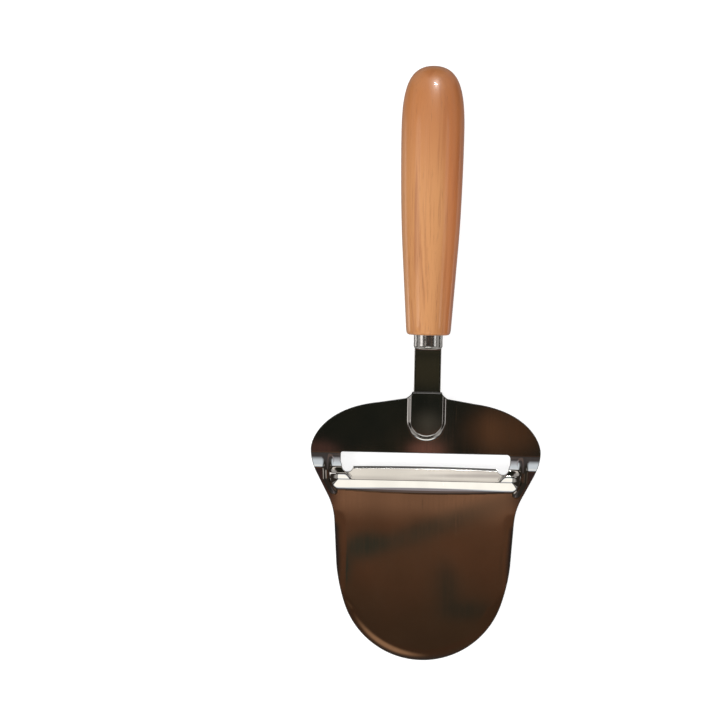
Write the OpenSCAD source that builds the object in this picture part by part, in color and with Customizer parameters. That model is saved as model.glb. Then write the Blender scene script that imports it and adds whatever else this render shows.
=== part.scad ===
// Cheese slicer: a pressed steel plate with a raised cutting lip, a flat steel
// shank welded under its neck, a small ferrule and a turned wooden handle.
// Millimetres. X across the plate, +Y from the plate towards the handle, +Z up.
// Lengths named _s are measured from the round tip of the plate towards the handle.

/* [Overall] */
// length over everything, tip of the plate to the butt of the handle
overall_l = 231.5; // [180:0.5:280]
// upward tilt of the handle from the plate, degrees
handle_tilt = 2; // [0:0.1:15]

/* [Plate outline] */
// thickness of the pressed sheet
sheet_t = 0.8; // [0.5:0.1:1.5]
// radius of the round tip
tip_r = 32.3; // [25:0.1:40]
// width where the straight sides of the tongue begin
tongue_w = 68; // [50:0.5:80]
// distance of that place from the tip
tongue_s = 38; // [30:0.5:45]
// width at the end of the straight sides
waist_w = 70; // [52:0.5:84]
// distance of that place from the tip
waist_s = 53; // [46:0.5:60]
// width over the round shoulders, the widest place
shoulder_w = 89.7; // [72:0.1:110]
// distance of the widest place from the tip
shoulder_s = 81.7; // [75:0.1:90]
// width of the tab over the shank
tab_w = 11.7; // [10:0.1:16]
// distance of the free edge of the tab from the tip
tab_s = 104.8; // [98:0.1:115]

/* [Levels] */
// underside of the tongue above the cutting edge
tongue_z = 0.7; // [0.3:0.1:2]
// underside of the upper plate above the cutting edge
plate_z = 2.0; // [1:0.1:4]
// start of the slope between the two levels
step_start_s = 74.8; // [72:0.1:78]
// end of the slope between the two levels
step_end_s = 79.8; // [78:0.1:85]

/* [Slot and cutting lip] */
// length of the slot across the plate
slot_w = 66.1; // [50:0.1:76]
// far side of the slot
slot_s = 80.6; // [78:0.1:86]
// corner radius of the slot
slot_corner_r = 1.5; // [0.5:0.1:3]
// length of the cutting edge
edge_w = 55.6; // [40:0.1:60]
// distance of the cutting edge from the tip
edge_s = 75.2; // [72:0.1:78]
// slope of the lip and of the ridge in front of it, degrees
lip_angle = 22; // [12:1:35]
// width of the ground bevel behind the edge
bevel_l = 0.95; // [0.4:0.05:2]
// flat left on the ground edge
edge_land = 0.06; // [0.02:0.01:0.2]
// crest of the ridge in front of the slot
crest_s = 70; // [66:0.1:72]
// place of the round ends of the ridge, from the middle
crest_end_x = 32; // [28:0.1:34]
// radius of the relief notches at the ends of the edge
notch_r = 2.2; // [1:0.1:3]
// place of the relief notches, from the middle
notch_x = 30.2; // [28:0.1:31]

/* [Ribs beside the slot] */
// upper end of a rib, from the middle
rib_top_x = 38.7; // [36:0.1:41]
// upper end of a rib, from the tip
rib_top_s = 78.0; // [75:0.1:82]
// lower end of a rib, from the middle
rib_low_x = 36.1; // [33:0.1:38]
// lower end of a rib, from the tip
rib_low_s = 65.4; // [62:0.1:70]
// crown radius at the upper end
rib_top_r = 2.9; // [2:0.1:4]
// crown radius at the lower end
rib_low_r = 1.8; // [1:0.1:3]

/* [Shank tunnel] */
// height of the tunnel above the upper plate
tunnel_h = 1.6; // [1:0.1:3]
// width of the tunnel over its upper corners
tunnel_top_w = 12; // [11:0.1:16]
// width of the tunnel over the foot of its walls
tunnel_foot_w = 16; // [14:0.1:22]
// middle of the round end of the tunnel, from the tip
tunnel_s = 93.65; // [88:0.05:98]

/* [Shank] */
// width of the shank
shank_w = 10.5; // [8:0.1:13]
// inside radius of its bend
shank_bend_r = 5; // [2:0.5:15]
// distance of the bend from the tip
bend_s = 105.3; // [100:0.1:112]
// width of the tang inside the handle
tang_w = 6; // [4:0.1:8]
// length of the tang
tang_l = 54; // [30:1:75]

/* [Ferrule] */
// diameter
ferrule_d = 11.3; // [9:0.1:16]
// start of the ferrule, measured along the handle from the bend
ferrule_at = 16.2; // [10:0.1:25]
// length
ferrule_l = 5.5; // [4:0.1:12]
// wall thickness
ferrule_t = 0.8; // [0.5:0.1:1.5]
// thickness of its closed end
ferrule_end_t = 1.2; // [0.8:0.1:2]
// radius of its round rim
ferrule_rim_r = 1.3; // [0.5:0.1:1.5]

/* [Handle] */
// largest diameter
handle_d = 24.5; // [18:0.1:32]
// distance of the largest diameter from the butt
belly_u = 25.5; // [15:0.5:40]
// diameter where the straight taper begins
taper_d = 21.84; // [16:0.02:28]
// distance of that place from the butt
taper_u = 70; // [50:1:85]
// diameter at the ferrule end
neck_d = 17.22; // [13:0.02:24]
// rounding of the ferrule end
neck_round_r = 1.4; // [0.5:0.1:3]
// bore for the tang
bore_d = 6.8; // [6:0.1:9]

/* [Hidden] */

// derived sizes
half_t = sheet_t / 2;
shank_t = tunnel_h;                      // the shank fills the tunnel flush with the plate
shank_z = plate_z + shank_t / 2;         // middle of the shank and of the handle at the bend
crest_z = (edge_s - crest_s) * tan(lip_angle) + half_t / cos(lip_angle);
ridge_foot = (crest_z - tongue_z - half_t) / tan(lip_angle);
strip_x = crest_end_x;                   // the side strips begin here
split_s = (edge_s + slot_s) / 2;         // inside the slot, where both levels are cut away
side_slope = [waist_w / 2 - tongue_w / 2, waist_s - tongue_s] / norm([waist_w / 2 - tongue_w / 2,
              waist_s - tongue_s]);
cap_r = 10.4;                            // radius of the domed butt near the axis
handle_end = (overall_l - bend_s - cap_r) / cos(handle_tilt) + cap_r;
handle_at = ferrule_at + ferrule_l;
handle_l = handle_end - handle_at;
tenon_at = ferrule_at + ferrule_end_t;
tenon_r = ferrule_d / 2 - ferrule_t;
tang_end = tenon_at + tang_l;
bore_end = tang_end + 2;
drill_tip = 2;
weld_d = 4.6;
weld_h = 0.8;
weld_at = [tunnel_s + 0.6, tunnel_s + 7.6];
deep = -6;                               // depth of the helper solids, below everything

// --- curves ---
function curve(a, b, c, d, n) = [for (i = [0 : n]) let (t = i / n, m = 1 - t)
    m * m * m * a + 3 * m * m * t * b + 3 * m * t * t * c + t * t * t * d];
function arc(centre, r, from, to, n) =
    [for (i = [0 : n]) let (a = from + (to - from) * i / n) centre + r * [cos(a), sin(a)]];
function mirrored(p) = concat(p, [for (i = [len(p) - 1 : -1 : 0]) if (p[i][0] > 0.001) [-p[i][0], p[i][1]]]);

// A bent sheet line: straight runs joined by round bends. Each point comes with its
// upward normal, so one line gives both faces of the sheet.
function unit(v) = v / norm(v);
function left(v) = [-v[1], v[0]];
function bend(a, b, c, r, n) = let (
    u = unit(b - a), w = unit(c - b),
    turn = atan2(u[0] * w[1] - u[1] * w[0], u * w),
    side = turn > 0 ? 1 : -1,
    start = b - u * r * tan(abs(turn) / 2),
    centre = start + left(u) * r * side)
    [for (i = [0 : n]) let (
        g = turn * i / n,
        normal = left(u) * cos(g) - u * sin(g))
        [centre - normal * r * side, normal]];
function bent_line(p, r, n) = concat(
    [[p[0], left(unit(p[1] - p[0]))]],
    [for (k = [1 : len(p) - 2]) each bend(p[k - 1], p[k], p[k + 1], r[k - 1], n)],
    [[p[len(p) - 1], left(unit(p[len(p) - 1] - p[len(p) - 2]))]]);
function shifted(line, d) = [for (q = line) q[0] + d * q[1]];

// area under one face of a bent line, closed far below
module under(line, d) {
    face = shifted(line, d);
    polygon(concat(face, [[face[len(face) - 1][0], deep + d], [face[0][0], deep + d]]));
}

// --- plate ---
tip_end = 22;                            // the circle of the tip ends here
tip_a = acos((tip_r - tip_end) / tip_r);
tip_x = tip_r * sin(tip_a);
flank = unit([1, 2]);                    // direction of the flared sides
flank_a = [waist_w / 2 + 2.7, waist_s + 10.5];
flank_b = [shoulder_w / 2 - 2.4, shoulder_s - 9.2];
back_edge = [19.1, 100.4];               // where the top edge turns straight
back_end = [8.6, 102.1];                 // and where it sweeps up to the tab

outline_half = concat(
    [for (i = [0 : 24]) let (a = tip_a * i / 24) [tip_r * sin(a), tip_r - tip_r * cos(a)]],
    curve([tip_x, tip_end], [tip_x, tip_end] + 5.4 * [cos(tip_a), sin(tip_a)],
          [tongue_w / 2, tongue_s] - 4.9 * side_slope, [tongue_w / 2, tongue_s], 8),
    curve([waist_w / 2, waist_s], [waist_w / 2, waist_s] + 2.6 * side_slope,
          flank_a - 5 * flank, flank_a, 8),
    curve(flank_b, flank_b + 3.2 * flank, [shoulder_w / 2, shoulder_s - 3.2],
          [shoulder_w / 2, shoulder_s], 6),
    curve([shoulder_w / 2, shoulder_s], [shoulder_w / 2, shoulder_s + 4.9],
          back_edge + [20, -2.4], back_edge, 22),
    curve(back_end, back_end + [-1.5, 0.3], [tab_w / 2 + 0.3, tab_s - 1.3], [tab_w / 2, tab_s], 6));

module outline() polygon(mirrored(outline_half));

module slot_shape() {
    notch = [notch_x, edge_s];
    corner = [slot_w / 2 - slot_corner_r, slot_s - slot_corner_r];
    polygon(mirrored(concat([[edge_w / 2, edge_s]], arc(notch, notch_r, 180, 365, 18),
                            arc(corner, slot_corner_r, 0, 90, 6))));
}

// lines of the sheet, seen from the side: middle of the thickness
step_line = bent_line([[-3, tongue_z + half_t], [step_start_s, tongue_z + half_t],
                       [step_end_s, plate_z + half_t], [tab_s + 3, plate_z + half_t]], [4, 4], 5);
ridge_line = bent_line([[-3, tongue_z + half_t], [crest_s - ridge_foot, tongue_z + half_t],
                        [crest_s, crest_z], [crest_s + 9, crest_z - 9 * tan(lip_angle)]], [2.5, 0.9], 6);
ridge_end_line = bent_line([[-1, crest_z - tan(lip_angle)], [0, crest_z],
                            [ridge_foot, tongue_z + half_t], [ridge_foot + 3, tongue_z + half_t]],
                           [0.9, 2.5], 6);
// section of the tunnel, seen from the front, right half
tunnel_line = bent_line([[-1, plate_z + half_t + tunnel_h], [tunnel_top_w / 2, plate_z + half_t + tunnel_h],
                         [tunnel_foot_w / 2, plate_z + half_t], [tunnel_foot_w / 2 + 3, plate_z + half_t]],
                        [0.8, 3], 7);

// extrude a side view across the plate, between two places in X
module across(x0, x1) translate([x0, 0, 0]) rotate([90, 0, 90]) linear_extrude(x1 - x0) children();

// turn a section about an upright axis
module turned(from, angle) rotate([0, 0, from]) rotate_extrude(angle = angle, $fn = 96)
    intersection() {
        children();
        translate([0, deep - 2]) square([40, 40]);
    }

module rib(d) {
    top = [rib_top_x, rib_top_s, 2.9 - rib_top_r];
    low = [rib_low_x, rib_low_s, 1.5 - rib_low_r];
    run = norm(low - top);
    lean = asin((rib_top_r - rib_low_r) / run);
    translate(top)
        rotate([0, acos((low[2] - top[2]) / run), atan2(low[1] - top[1], low[0] - top[0])])
            rotate_extrude($fn = 40) polygon(concat(
                arc([0, 0], rib_top_r + d, -90, lean, 8),
                arc([0, run], rib_low_r + d, lean, 90, 6)));
}

// everything below one face of the pressed sheet; d = +half_t for the top, -half_t for the underside
module pressed(d) {
    side = shoulder_w / 2 + 5;
    difference() {
        across(-side, side) under(step_line, d);
        translate([-strip_x, -5, deep - 1]) cube([2 * strip_x, split_s + 5, 40]);
    }
    intersection() {
        across(-strip_x, strip_x) under(ridge_line, d);
        translate([-strip_x, -5, deep - 1]) cube([2 * strip_x, split_s + 5, 40]);
    }
    for (m = [0, 1]) mirror([m, 0, 0]) {
        translate([crest_end_x, crest_s, 0]) turned(-90, 180) under(ridge_end_line, d);
        rib(d);
    }
    translate([0, tunnel_s, 0]) {
        turned(180, 180) under(tunnel_line, d);
        for (m = [0, 1]) mirror([m, 0, 0])
            rotate([90, 0, 0]) translate([0, 0, -(tab_s - tunnel_s + 2)])
                linear_extrude(tab_s - tunnel_s + 2) intersection() {
                    under(tunnel_line, d);
                    translate([0, deep - 2]) square([40, 40]);
                }
    }
}

module blade() color([0.76, 0.75, 0.73]) at_origin() difference() {
    intersection() {
        difference() {
            pressed(half_t);
            pressed(-half_t);
        }
        translate([0, 0, -1]) linear_extrude(8) outline();
    }
    translate([0, 0, -2]) linear_extrude(10) slot_shape();
    // ground bevel on the upper side of the lip
    bevel_z = crest_z - (edge_s - bevel_l - crest_s) * tan(lip_angle) + half_t / cos(lip_angle);
    across(-edge_w / 2 - 0.6, edge_w / 2 + 0.6)
        polygon([[edge_s - bevel_l, bevel_z], [edge_s, edge_land], [edge_s + 1, edge_land],
                 [edge_s + 1, bevel_z + 1], [edge_s - bevel_l, bevel_z + 1]]);
    weld_pair();
}

// --- shank ---
module shank() color([0.72, 0.71, 0.69]) at_origin() difference() {
    shank_blank();
    weld_pair();
}

module shank_blank() {
    far = [cos(handle_tilt), sin(handle_tilt)] * tang_end;
    line = bent_line([[tunnel_s - shank_w, shank_z], [bend_s, shank_z], [bend_s, shank_z] + far],
                     [shank_bend_r + shank_t / 2], 6);
    back = shifted(line, -shank_t / 2);
    difference() {
        intersection() {
            across(-shank_w / 2, shank_w / 2) polygon(concat(shifted(line, shank_t / 2),
                [for (i = [len(back) - 1 : -1 : 0]) back[i]]));
            translate([0, tunnel_s, -1]) linear_extrude(60) union() {
                circle(d = shank_w, $fn = 72);
                translate([-shank_w / 2, 0]) square([shank_w, 200]);
            }
        }
        // the tang is narrower than the shank
        on_axis() for (m = [0, 1]) mirror([m, 0, 0])
            translate([tang_w / 2, tenon_at, -10]) cube([20, 200, 20]);
    }
}

module weld_pair() for (y = weld_at)
    translate([0, y, shank_z + shank_t / 2 - weld_h / 2]) cylinder(d = weld_d, h = weld_h, $fn = 48);

module spot_welds() color([0.55, 0.54, 0.53]) at_origin() weld_pair();

// --- ferrule and handle, turned about the handle axis ---
module ferrule() color([0.76, 0.75, 0.73]) at_origin() on_axis() difference() {
    turned_part(concat(
        [[0, ferrule_at]],
        arc([ferrule_d / 2 - ferrule_rim_r, ferrule_at + ferrule_rim_r], ferrule_rim_r, -90, 0, 8),
        [[ferrule_d / 2, handle_at - 1.3], [ferrule_d / 2 - 0.25, handle_at - 1.1],
         [ferrule_d / 2 - 0.25, handle_at - 0.8], [ferrule_d / 2 + 0.15, handle_at - 0.45],
         [ferrule_d / 2 + 0.15, handle_at], [tenon_r, handle_at], [tenon_r, tenon_at], [0, tenon_at]]));
    translate([-shank_w / 2, ferrule_at - 2, -shank_t / 2]) cube([shank_w, 6, shank_t]);
}

belly = [handle_d / 2, handle_end - belly_u];
taper = [taper_d / 2, handle_end - taper_u];
neck = [neck_d / 2, handle_at];
taper_slope = unit(taper - neck);
handle_side = concat(
    [[bore_d / 2, tenon_at], [tenon_r, tenon_at], [tenon_r, handle_at]],
    arc([neck[0] - neck_round_r, handle_at + neck_round_r], neck_round_r, -90, 0, 7),
    curve(taper, taper + 14 * taper_slope, belly - [0, 9], belly, 14),
    [for (i = [1 : 22]) curve(belly, belly + [0, 15.97], [10.2, handle_end], [0, handle_end], 22)[i]],
    [[0, bore_end + drill_tip], [bore_d / 2, bore_end]]);

module handle() color([0.80, 0.58, 0.40]) at_origin() on_axis() turned_part(handle_side);

module tang_adhesive() color([0.86, 0.80, 0.62]) at_origin() difference() {
    on_axis() turned_part([[0, tenon_at], [bore_d / 2, tenon_at], [bore_d / 2, bore_end],
                           [0, bore_end + drill_tip]]);
    shank_blank();
}

// profile of [radius, distance from the bend], turned about the handle axis
module turned_part(p) rotate([-90, 0, 0]) rotate_extrude($fn = 96) polygon(p);

// frame of the handle axis: the bend is its origin, Y runs along the handle
module on_axis() translate([0, bend_s, shank_z]) rotate([handle_tilt, 0, 0]) children();

// the tool is centred on its length, and the lowest line of the handle lies on Z = 0
lift = -min([for (p = handle_side) shank_z + p[1] * sin(handle_tilt) - p[0] * cos(handle_tilt)]);
module at_origin() translate([0, -overall_l / 2, lift]) children();

handle();
ferrule();
shank();
blade();
tang_adhesive();
spot_welds();
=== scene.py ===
"""Cheese slicer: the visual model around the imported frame.

Lengths inside the builders are millimetres in the sheet's own frame: x across the
plate, s along it from the round tip towards the handle, z up from the cutting edge.
to_row() turns them into metres in the row frame.
"""

import math

import bpy
import numpy as np
from mathutils import Matrix, Vector
from mathutils.geometry import delaunay_2d_cdt


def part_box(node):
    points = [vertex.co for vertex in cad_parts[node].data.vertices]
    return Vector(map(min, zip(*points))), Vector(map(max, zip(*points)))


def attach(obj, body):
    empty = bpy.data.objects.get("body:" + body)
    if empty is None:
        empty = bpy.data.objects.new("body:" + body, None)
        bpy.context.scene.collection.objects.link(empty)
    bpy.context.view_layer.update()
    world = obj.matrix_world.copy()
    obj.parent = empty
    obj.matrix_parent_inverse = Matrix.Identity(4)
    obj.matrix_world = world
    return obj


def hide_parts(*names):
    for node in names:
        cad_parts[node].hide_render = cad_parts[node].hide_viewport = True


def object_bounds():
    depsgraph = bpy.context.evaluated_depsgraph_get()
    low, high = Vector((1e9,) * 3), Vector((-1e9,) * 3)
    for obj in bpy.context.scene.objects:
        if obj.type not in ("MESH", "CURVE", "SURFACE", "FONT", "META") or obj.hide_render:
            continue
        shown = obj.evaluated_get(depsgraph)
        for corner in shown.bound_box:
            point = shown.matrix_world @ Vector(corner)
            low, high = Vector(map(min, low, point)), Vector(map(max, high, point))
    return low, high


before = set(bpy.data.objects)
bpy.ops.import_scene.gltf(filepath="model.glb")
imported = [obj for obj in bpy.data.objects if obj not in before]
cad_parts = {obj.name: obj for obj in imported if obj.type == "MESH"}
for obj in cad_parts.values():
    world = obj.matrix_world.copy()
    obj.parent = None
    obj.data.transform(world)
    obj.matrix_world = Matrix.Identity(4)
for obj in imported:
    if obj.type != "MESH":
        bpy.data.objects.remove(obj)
CAD_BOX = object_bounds()

MM = 0.001
BLADE_LO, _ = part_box("blade")
TIP_Y = BLADE_LO.y  # row y of the tip
EDGE_Z = BLADE_LO.z  # row z of the cutting edge

# ---------------------------------------------------------------- dimensions, mm
SHEET_T = 0.8
HALF_T = SHEET_T / 2
TONGUE_Z = 0.7 + HALF_T  # middle of the sheet in the tongue
PLATE_Z = 2.0 + HALF_T  # and in the upper plate
TIP_R, TIP_END = 32.3, 22.0  # round tip and where it ends

# the slot, and the cutting edge with a round notch at each end
SLOT_HALF, SLOT_TOP, SLOT_CORNER = 33.05, 80.8, 1.4
EDGE_HALF, EDGE_S, EDGE_BOW = 27.8, 75.2, 0.35
NOTCH_X, NOTCH_R = 30.3, 2.2
BEVEL_L, EDGE_LAND = 0.95, 0.06

# the lip, and the ridge that it falls from
LIP_ANGLE = math.radians(22)
LIP_SLOPE = math.tan(LIP_ANGLE)
LIP_L, LIP_HOLLOW = 5.2, 0.006  # the hollow steepens the lip towards its edge
CREST_S, CREST_END, CREST_R = 70.0, 33.4, 0.25
CREST_SOFT = CREST_R * 0.19
CREST_Z = (EDGE_S - CREST_S) * LIP_SLOPE + HALF_T
RIDGE_H = CREST_Z - TONGUE_Z
FOOT_HALF, FOOT_R, FOOT_GAIN = 31, 4.0, 5.0  # fillet at the ridge's foot, larger in the middle
CREASE_X, CREASE_RUN, CREASE_SLOPE, CREASE_SOFT = 28.5, 3.2, 0.68, 0.9  # between lip and ridge end

# the ends of the ridge: the crest swings back there, still climbing, to a steep back wall
SWING, SWING_FROM, SWING_TO, SWING_SLOPE, SWING_SOFT = 2.2, 28.3, 31.6, 0.34, 0.5
SWING_FADE = (5.4, 0.8)  # how far past the crest's end the climb is gone, and still whole
BACK_ANGLE, BACK_R = math.radians(42), 0.9
END_SHIFT, END_CREST_R, END_FOOT_R = 0.4, 2.4, 1.6  # how a sideways wall differs from the front

STEP_START, STEP_END, STEP_EASE, STEP_SOFT = 74.6, 80.6, 1.45, 0.4
BESIDE_FROM, BESIDE_TO, BESIDE_S = 28.4, 30.2, 77.5  # the step starts beside the lip
RIB_AXIS = ((38.2, 77.8), (38.2, 70.2), (35.6, 65.2))  # from the top end to the low end
RIB_WIDTH = (2.5, 1.9, 1.7)  # half widths at those places
RIB_RISE, RIB_TOP_S, RIB_TOP_SOFT, RIB_PROUD = 0.15, 79.9, 0.9, 0.02  # the crown up the step
RIB_LOW_CROWN, RIB_LOW_FROM, RIB_LOW_TO, RIB_LOW_SOFT = 0.40, 63.4, 67.5, 0.12  # and lower down

TUNNEL_H, TUNNEL_S, TUNNEL_TOP, TUNNEL_ANGLE = 1.6, 93.65, 5.75, math.radians(56)
TUNNEL_CREST_R, TUNNEL_FOOT_R = (0.35, 0.5), (0.7, 1.0)  # along the sides, and what the end adds
TUNNEL_TAPER, TUNNEL_FROM = 0.3, 80
TAB_HALF, TAB_S = 5.7, 104.3  # rounded end of the plate over the neck

# the polished edge of the tongue
RIM_DROP, RIM_RUN = 0.075, 4.6
FLANK_X, FLANK_GAIN = 34.2, 0.8

SHANK_W, SHANK_T, TANG_W, STRIP_R = 10.5, 1.6, 6.0, 0.28
BEND_S, BEND_Z, TILT = 105.3, 2.8, math.radians(2)
FERRULE_AT, FERRULE_L, FERRULE_R = 16.2, 5.5, 5.65  # along the handle axis from the bend
HANDLE_AT = FERRULE_AT + FERRULE_L
LEVEL_TO, LEVEL_BLEND = FERRULE_AT - 0.4, 8
TENON_AT, TENON_R, BORE_R = FERRULE_AT + 1.2, 4.85, 3.4
TANG_END = FERRULE_AT + 1.2 + 54
OVERALL_L, END_R, END_CLEAR = 231.5, 10.4, 0.02
HANDLE_END = (OVERALL_L - BEND_S - END_R) / math.cos(TILT) + (END_R - END_CLEAR)
BELLY_R, BELLY_U, TAPER_R, TAPER_U = 12.24, 25.5, 10.92, 70
NECK_R, NECK_ROUND = 8.61, 1.4

# ---------------------------------------------------------------- camera
CAMERA_UP = Vector((-0.0218, 0.99976, 0))
CAMERA_X, CAMERA_Y, CAMERA_HEIGHT, CAMERA_FIELD = -0.0264, 0.0009, 1.1, 0.2808  # metres
SENSOR = 36  # width in mm


def to_row(p):
    """Points [x, s, z] in mm, any array shape ending in 3, to metres in the row frame."""
    return np.asarray(p, float) * MM + np.array([0.0, TIP_Y, EDGE_Z])


def axis_matrix():
    """The handle axis in the sheet's frame: origin at the bend, Y along the handle."""
    return Matrix.Translation((0, BEND_S, BEND_Z)) @ Matrix.Rotation(TILT, 4, "X")


def on_axis(p):
    """Points given along the handle axis, to the sheet's frame."""
    m = np.array(axis_matrix())
    p = np.asarray(p, float)
    return p @ m[:3, :3].T + m[:3, 3]


# ---------------------------------------------------------------- small helpers
def bezier(a, b, c, d, n):
    t = np.linspace(0, 1, n + 1)[:, None]
    a, b, c, d = (np.asarray(v, float) for v in (a, b, c, d))
    return (1 - t) ** 3 * a + 3 * (1 - t) ** 2 * t * b + 3 * (1 - t) * t * t * c + t ** 3 * d


def arc(centre, radius, start, end, n):
    a = np.radians(np.linspace(start, end, n + 1))
    return np.stack([centre[0] + radius * np.cos(a), centre[1] + radius * np.sin(a)], 1)


def unit(v):
    v = np.asarray(v, float)
    return v / np.linalg.norm(v)


def resampled(points, step):
    """A closed polyline with points about one step apart. All its own points stay."""
    out = []
    n = len(points)
    for i in range(n):
        a, b = points[i], points[(i + 1) % n]
        k = max(1, int(round(np.linalg.norm(b - a) / step)))
        out += [a + (b - a) * j / k for j in range(k)]
    return np.array(out)


def without_repeats(points, gap=1e-4):
    keep = [points[0]]
    for p in points[1:]:
        if np.linalg.norm(p - keep[-1]) > gap:
            keep.append(p)
    if np.linalg.norm(keep[0] - keep[-1]) < gap:
        keep.pop()
    return np.array(keep)


def mirrored(half):
    """A closed outline from its right half, listed from the lowest point to the highest."""
    left = half[::-1] * [-1, 1]
    return without_repeats(np.vstack([half, left]))


def smooth(lo, hi, v):
    t = np.clip((v - lo) / (hi - lo), 0, 1)
    return t * t * (3 - 2 * t)


def soft_ramp(v, width):
    """max(0, v) with its corner rounded over 2 * width."""
    return np.where(v < -width, 0, np.where(v > width, v, (v + width) ** 2 / (4 * width)))


def inside(points, loop):
    """Which points lie inside a closed loop."""
    x, y = points[:, 0], points[:, 1]
    hit = np.zeros(len(points), bool)
    for a, b in zip(loop, np.roll(loop, -1, 0)):
        crosses = (a[1] > y) != (b[1] > y)
        if a[1] != b[1]:
            hit ^= crosses & (x < (b[0] - a[0]) * (y - a[1]) / (b[1] - a[1]) + a[0])
    return hit


def distance(points, loop):
    """Distance of each point from a closed loop."""
    best = np.full(len(points), 1e9)
    for a, b in zip(loop, np.roll(loop, -1, 0)):
        ab = b - a
        t = np.clip(((points - a) @ ab) / max(ab @ ab, 1e-12), 0, 1)
        best = np.minimum(best, np.linalg.norm(points - a - t[:, None] * ab, axis=1))
    return best


def make_piece(name, verts, faces, material, nodes, normals=None):
    """A mesh object in the row frame from points in mm, smooth shaded, tied to the frame."""
    mesh = bpy.data.meshes.new(name)
    places = [tuple(v) for v in to_row(verts)]
    mesh.from_pydata(places, [], [tuple(int(i) for i in f) for f in faces])
    mesh.validate()
    mesh.shade_smooth()
    if normals is not None:
        mesh.normals_split_custom_set_from_vertices([tuple(n) for n in normals])
    obj = bpy.data.objects.new(name, mesh)
    bpy.context.scene.collection.objects.link(obj)
    obj.data.materials.append(material)
    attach(obj, "root")
    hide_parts(*nodes)
    return obj


# ---------------------------------------------------------------- the pressed sheet
def wall(d, height, angle, crest_r, foot_r):
    """Height of a pressed wall at d out from where it starts to fall, both corners round."""
    sine, lost = np.sin(angle), 1 - np.cos(angle)
    crest_w, foot_w = crest_r * sine, foot_r * sine
    straight = (height - (crest_r + foot_r) * lost) / np.tan(angle)
    end = crest_w + straight + foot_w
    on_crest = height - crest_r + np.sqrt(
        np.maximum(crest_r ** 2 - np.clip(d, 0, crest_w) ** 2, 0))
    on_wall = height - crest_r * lost - np.tan(angle) * (d - crest_w)
    on_foot = foot_r - np.sqrt(foot_r ** 2 - np.clip(end - d, 0, foot_w) ** 2)
    return np.where(d < crest_w, on_crest, np.where(d < crest_w + straight, on_wall, on_foot))


def ridge_height(x, s):
    """Rise over the tongue in front of the slot: the ridge, its round ends and the lip."""
    ax = np.abs(x)
    down = s - CREST_S
    # beside the lip the crest swings back towards the slot, on a front slope a little flatter
    swing = SWING * smooth(SWING_FROM, SWING_TO, ax)
    top = RIDGE_H + SWING_SLOPE * swing
    foot_r = FOOT_R + FOOT_GAIN * np.maximum(1 - (x / FOOT_HALF) ** 2, 0)
    across = np.maximum(ax - CREST_END, 0)
    rho = np.hypot(across, np.maximum(-down, 0))
    side = smooth(0.1, 1.0, across / (rho + 0.5))
    mound = wall(rho - END_SHIFT * side, RIDGE_H, LIP_ANGLE,
                 CREST_R + END_CREST_R * side, foot_r - END_FOOT_R * side)
    climb = soft_ramp(down, SWING_SOFT) - soft_ramp(down - swing, SWING_SOFT)
    climb = climb * SWING_SLOPE * smooth(*SWING_FADE, across)
    mound = (mound + climb) * wall(down - swing, top, BACK_ANGLE, BACK_R, BACK_R) / top
    lip = RIDGE_H - LIP_SLOPE * soft_ramp(down - CREST_SOFT, CREST_SOFT)
    lip = lip - np.where(down > 0, LIP_HOLLOW * down * (down - LIP_L), 0)
    crease = CREASE_X + np.clip(down, 0, CREASE_RUN) * CREASE_SLOPE
    beyond = np.where(down > 0, smooth(-CREASE_SOFT, CREASE_SOFT, ax - crease), 1)
    return lip * (1 - beyond) + mound * beyond


def rib_shape(x, s, base):
    """Adds the stiffening beads at both sides, which bridge the step, to the height base."""
    p = np.stack([np.abs(x), s], -1)
    best, width = np.full(np.shape(x), 1e9), np.ones(np.shape(x))
    for i in range(2):
        a, b = np.array(RIB_AXIS[i]), np.array(RIB_AXIS[i + 1])
        run = b - a
        t = np.clip((p - a) @ run / (run @ run), 0, 1)
        d = np.linalg.norm(p - a - t[..., None] * run, axis=-1)
        nearer = d < best
        best = np.where(nearer, d, best)
        width = np.where(nearer, RIB_WIDTH[i] + (RIB_WIDTH[i + 1] - RIB_WIDTH[i]) * t, width)
    # the crown climbs the step at a flatter slope than the sheet beside it
    climb = PLATE_Z + RIB_PROUD - RIB_RISE * soft_ramp(RIB_TOP_S - s, RIB_TOP_SOFT)
    low = TONGUE_Z + RIB_LOW_CROWN * smooth(RIB_LOW_FROM, RIB_LOW_TO, s)
    crown = low + soft_ramp(climb - low, RIB_LOW_SOFT)
    bump = 0.5 + 0.5 * np.cos(np.pi * np.clip(best / width, 0, 1))
    return base + np.maximum(crown - base, 0) * bump


def tunnel_height(x, s):
    """Raised middle of the upper plate over the shank: straight sides, round end."""
    rho = np.hypot(x, np.minimum(s - TUNNEL_S, 0))
    end = smooth(0.2, 0.8, (TUNNEL_S - s) / (rho + 1e-6))
    crest_r, foot_r = (base + gain * end for base, gain in (TUNNEL_CREST_R, TUNNEL_FOOT_R))
    out = rho - TUNNEL_TOP - TUNNEL_TAPER * (1 - end)
    return wall(out, TUNNEL_H, TUNNEL_ANGLE, crest_r, foot_r)


def step_height(s):
    """The step from the tongue up to the plate, steepest at its foot."""
    t = np.clip(soft_ramp(s - STEP_START, STEP_SOFT) / (STEP_END - STEP_START), 0, 1)
    return (PLATE_Z - TONGUE_Z) * (1 - (1 - t) ** STEP_EASE)


def rim_drop(x, s):
    """The polished edge of the tongue falls away a few hundredths of a millimetre."""
    round_tip = TIP_R - np.hypot(x, s - TIP_R)
    flank = FLANK_X + FLANK_GAIN * smooth(36, 54, s) - np.abs(x)
    d = round_tip + (flank - round_tip) * smooth(19, 28, s)
    return RIM_DROP * np.clip(1 - d / RIM_RUN, 0, 1.1) ** 2 * (1 - smooth(50, 58, s))


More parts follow.
